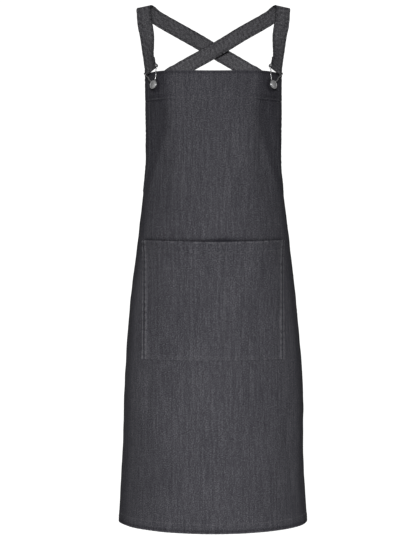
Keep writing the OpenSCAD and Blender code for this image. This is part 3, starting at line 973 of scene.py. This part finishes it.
def across(whole, run, a, b, w, seed, outer=True):
    """Points over route places a to b, at sideways places w."""
    p, _, side, face = (q[a:b + 1] for q in whole)
    along = np.repeat(run[a:b + 1, None], len(w), 1)
    wide = np.repeat(np.asarray(w, float)[None], len(p), 0)
    share = np.interp(wide, STRAP_WIDE, STRAP_ROUND)
    shift = 0.0 if outer else 90.0
    height = share * (STRAP_T / 2 + strap_relief(wide, along + shift, seed))
    edge_wave = 0.22 * waves_along(along, 16, seed + 5) * (2 * np.abs(wide) / STRAP_W) ** 4 * np.sign(wide)
    sign = 1.0 if outer else -1.0
    return (p[:, None] + side[:, None] * (wide + edge_wave)[..., None]
            + face[:, None] * (sign * height)[..., None])


def strap_part(name, whole, run, a, b, seed, sign, cap_start, cap_end):
    """A piece of strap from one cut to the next, in the whole route's own directions."""
    outer = across(whole, run, a, b, STRAP_WIDE, seed)
    back = STRAP_WIDE[1:-1][::-1]
    inner = across(whole, run, a, b, back, seed, False)
    ring = np.concatenate([outer, inner], 1)
    wide = np.concatenate([STRAP_WIDE, back])
    rows, k = ring.shape[:2]
    ids = np.arange(rows * k).reshape(rows, k)
    nxt = np.roll(ids, -1, 1)
    faces = np.stack([ids[:-1], ids[1:], nxt[1:], nxt[:-1]], -1).reshape(-1, 4).tolist()
    if cap_start:
        faces.append(ids[0].tolist())
    if cap_end:
        faces.append(ids[-1][::-1].tolist())
    along = np.repeat(run[a:b + 1, None], k, 1)
    wides = np.repeat(wide[None], rows, 0)
    flat = np.stack([0.5 + wides / 1000, along / 1000], -1)
    flat[:, len(STRAP_WIDE):, 0] += 0.0317
    wear_and_shade = strap_wear_and_shade(wides, along, seed)
    wear_and_shade[:, len(STRAP_WIDE):] += 0.32
    points = ring.reshape(-1, 3) * flip_of(sign)
    return make(name, points, mirrored(faces, -sign), [STRAP_DENIM], None, flat.reshape(-1, 2),
                {"wear_and_shade": wear_and_shade.reshape(-1)})


def strap_part_rows(whole, run, a, b, seed, sign, cross_at=()):
    """Stitch lines along both edges of a piece of strap, and across it."""
    face = whole[3]
    flip = flip_of(sign)
    rows = []
    for outer, way in ((True, 1), (False, -1)):
        lines = across(whole, run, a, b, np.array([-12.0, 12.0]), seed, outer)
        for k in (0, 1):
            rows.append(stitch_row(lines[:, k] * flip, way * face[a:b + 1] * flip))
        for at in cross_at:
            i = int(np.argmin(np.abs(run - at)))
            line = across(whole, run, i, i, np.linspace(-11.5, 11.5, 24), seed, outer)[0]
            rows.append(stitch_row(line * flip, np.repeat((way * face[i] * flip)[None], 24, 0)))
    return rows


strap_sets = {side: make_strap(side, sign) for side, sign in SIDES}


# ---------------------------------------------------------------- clips and buttons
def round_faces(rows, sides):
    """Faces between rings of points, with a flat face on the first and the last ring."""
    ids = np.arange(rows * sides).reshape(rows, sides)
    nxt = np.roll(ids, -1, 1)
    faces = np.stack([ids[:-1], nxt[:-1], nxt[1:], ids[1:]], -1).reshape(-1, 4).tolist()
    return faces + [ids[0][::-1].tolist(), ids[-1].tolist()]


def tube(path, radius, sides=14):
    """Points and faces of a round tube along a path."""
    path = np.asarray(path, float)
    radius = np.broadcast_to(np.asarray(radius, float), (len(path),))
    d = unit(np.gradient(path, axis=0))
    frames = []
    n = unit(np.cross(d[0], [0.31, 0.2, 0.93]))
    for k in range(len(path)):
        n = unit(n - d[k] * (n @ d[k]))
        frames.append(n)
    n = np.array(frames)
    b = np.cross(d, n)
    turn = np.arange(sides) * 2 * math.pi / sides
    ring = (path[:, None] + radius[:, None, None]
            * (np.cos(turn)[None, :, None] * n[:, None] + np.sin(turn)[None, :, None] * b[:, None]))
    return ring.reshape(-1, 3), round_faces(len(path), sides)


def lathe(profile, sides=48, axis=2, centre=(0, 0, 0)):
    """Points and faces of a turned shape: profile is [radius, height along the axis]."""
    turn = np.arange(sides) * 2 * math.pi / sides
    others = [k for k in range(3) if k != axis]
    points = np.zeros((len(profile), sides, 3))
    for i, (r, h) in enumerate(profile):
        points[i, :, others[0]] = r * np.cos(turn)
        points[i, :, others[1]] = r * np.sin(turn)
        points[i, :, axis] = h
    return points.reshape(-1, 3) + np.asarray(centre, float), round_faces(len(profile), sides)


def rounded(profile):
    return smooth_through(profile, 4).tolist()


def fix_normals(obj):
    bpy.context.view_layer.objects.active = obj
    for o in bpy.context.selected_objects:
        o.select_set(False)
    obj.select_set(True)
    bpy.ops.object.mode_set(mode="EDIT")
    bpy.ops.mesh.select_all(action="SELECT")
    bpy.ops.mesh.normals_make_consistent(inside=False)
    bpy.ops.object.mode_set(mode="OBJECT")
    obj.select_set(False)


def hardware(name, shape, material, body, slot, *nodes, sign=-1):
    """A piece of metal, from its points and faces in the clip's axes."""
    points, faces = shape
    made = make(name, at_clip(points, sign), mirrored(faces, sign), [material])
    fix_normals(made)
    return keep(made, body, slot, *nodes)


def wire_route():
    """The clip's wire from one eye, down a leg, round the lobe and up to the other eye."""
    leg = [[5.15, 9], [7.6, 13.3], [10.4, 17.5], [11.3, 22.5], [13.5, 26.9], [16.4, 30.3]]
    lobe = [[6.0 * math.cos(a), 1.05 + 6.0 * math.sin(a)]
            for a in np.radians(np.arange(-210, 31, 20))]
    flat = [[-x, y] for x, y in leg[::-1]] + lobe + leg
    path = [[x, y, WIRE_LOW + (WIRE_HIGH - WIRE_LOW) * float(np.clip(y / CLIP_REACH, 0, 1))]
            for x, y in flat]
    eyes = [[[way * (16.5 + 0.35 * math.sin(a / 2 + 0.2)), CLIP_REACH - EYE_R * math.cos(a),
              WIRE_HIGH - EYE_R * math.sin(a)] for a in np.radians(np.arange(12, 341, 16))]
            for way in (-1, 1)]
    whole = eyes[0][::-1] + smooth_through(path, 7).tolist() + eyes[1]
    fine, _ = resample(np.array(whole), 0.7)
    return averaged(fine, np.array([1, 2, 3, 2, 1]) / 9)


def make_clip(side, sign):
    route = wire_route()
    width = np.full(len(route), WIRE_D / 2)
    ends = np.minimum(np.arange(len(route)), np.arange(len(route))[::-1])
    width = np.where(ends < 28, 1.19, width) * np.where(ends < 2, 0.75 + 0.12 * ends, 1)
    hardware(f"clip_wire_{side}", tube(route, width), WIRE, f"clip_{side}", "dark_wire",
             f"buckle_wire_{side}", sign=sign)
    end = -BAR_HALF_L
    bar = rounded([[0.4, end - 0.3], [1.6, end - 0.2], [2.4, end + 0.35], [2.45, end + 0.9],
                   [1.7, end + 1.25], [1.53, end + 1.7]])
    bar = bar + [[r, -h] for r, h in bar[::-1]]
    hardware(f"clip_bar_{side}", lathe(bar, 24, 0, (0, CLIP_REACH, WIRE_HIGH)), WIRE,
             f"strap_fold_{side}", "dark_wire", f"crossbar_{side}", sign=sign)
    r = BUTTON_D / 2
    cap = [[0.3, 6.0], [3.5, 6.0], [r - 1.2, 6.0], [r - 0.35, 6.15], [r, 6.65], [r - 0.15, 7.2],
           [r - 0.7, 7.5], [r - 1.2, 7.42], [r - 1.6, 7.12], [r - 2.1, 7.08], [r - 2.8, 7.5],
           [r - 4.0, 8.1], [r - 5.6, 8.45], [1.4, 8.6], [0.3, 8.62]]
    hardware(f"button_head_{side}", lathe(rounded(cap), 64), BUTTON, f"button_{side}",
             "button_metal", f"button_cap_{side}", sign=sign)
    shank = [[1.3, 0.3], [3.3, 0.3], [3.5, 0.7], [3.2, 1.6], [2.9, 3.0], [3.1, 4.8], [3.4, 5.9],
             [1.3, 5.9]]
    hardware(f"button_neck_{side}", lathe(shank, 32), BUTTON, f"button_{side}",
             "button_metal", f"button_shank_{side}", sign=sign)
    low = -2 * LAYER_STEP - CLOTH_T
    nail = [[0.2, 4.6], [0.9, 4.4], [1.2, 3.6], [1.2, low], [3.6, low - 0.05],
            [4.7, low - 0.3], [4.9, low - 0.7], [4.4, low - 1.1], [2.5, low - 1.3], [0.3, low - 1.35]]
    hardware(f"tack_{side}", lathe(nail, 32), BUTTON, ROOT, "button_metal",
             f"tack_nail_{side}", sign=sign)


for _side, _sign in SIDES:
    make_clip(_side, _sign)


# ---------------------------------------------------------------- stage, light and camera
def area_light(name, place, aim, size, power, tall=None, spread=180):
    data = bpy.data.lights.new(name, "AREA")
    data.shape = "RECTANGLE"
    data.size = size
    data.size_y = tall or size
    data.energy = power
    data.spread = math.radians(spread)
    obj = bpy.data.objects.new(name, data)
    obj.location = place
    obj.rotation_euler = (Vector(aim) - Vector(place)).to_track_quat("-Z", "Y").to_euler()
    bpy.context.scene.collection.objects.link(obj)


FLOOR_R = 2.15
FLOOR_Z = -1.42
FLOOR_SIDES = 96


def make_floor():
    made, _, shader = new_material("floor_pale")
    shader.inputs["Base Color"].default_value = (0.78, 0.78, 0.78, 1)
    shader.inputs["Roughness"].default_value = 0.8
    turn = np.arange(FLOOR_SIDES) * 2 * math.pi / FLOOR_SIDES
    points = np.stack([FLOOR_R * np.cos(turn), FLOOR_R * np.sin(turn), np.full(FLOOR_SIDES, FLOOR_Z)],
                      -1)
    mesh = bpy.data.meshes.new("floor")
    mesh.from_pydata(points.tolist(), [], [list(range(FLOOR_SIDES))])
    mesh.materials.append(made)
    floor = bpy.data.objects.new("floor", mesh)
    bpy.context.scene.collection.objects.link(floor)


def make_world():
    """A dim room with a bright wall beyond the apron."""
    world = bpy.data.worlds.new("studio")
    bpy.context.scene.world = world
    world.use_nodes = True
    tree = world.node_tree
    way = node(tree, "ShaderNodeTexCoord").outputs["Generated"]
    split = node(tree, "ShaderNodeSeparateXYZ", {0: way})
    share = calc(tree, "MULTIPLY_ADD", split.outputs[2], 0.5, 0.5)
    height = node(tree, "ShaderNodeValToRGB", {0: share})
    stops = height.color_ramp.elements
    stops.new(0.55)
    stops.new(0.68)
    for stop, grey in zip(stops, (0.13, 0.14, 0.06, 0.05)):
        stop.color = (grey, grey, grey, 1)
    wall = node(tree, "ShaderNodeMapRange",
                {"Value": split.outputs[1], "From Min": 0.925, "From Max": 0.965,
                 "To Min": 0.0, "To Max": 1.0}).outputs[0]
    mix = node(tree, "ShaderNodeMix", {0: wall, 6: height.outputs[0], 7: (1.12, 1.12, 1.12, 1)},
               data_type="RGBA")
    back = tree.nodes["Background"]
    tree.links.new(mix.outputs[2], back.inputs["Color"])
    back.inputs["Strength"].default_value = 1.0


make_floor()
make_world()
area_light("key", (-0.1, -3.4, 0.55), (0, -0.05, -0.40), 0.9, 98)
for _sign in (-1, 1):
    area_light("skirt_light", (_sign * 2.1, -2.0, -1.0), (0, 0, -0.92), 0.8, 0.8, 0.9, 30)
area_light("top", (0, 0.4, 1.9), (0, 0, -0.2), 1.4, 8)

camera_data = bpy.data.cameras.new("camera")
camera_data.sensor_width = 36.0
camera_data.lens = 107.8
camera = bpy.data.objects.new("camera", camera_data)
camera.location = (-0.0064, -3.125, -0.5075)
camera.rotation_euler = (math.radians(90), 0, 0)
bpy.context.scene.collection.objects.link(camera)
bpy.context.scene.camera = camera
bpy.context.scene.view_settings.view_transform = "Standard"
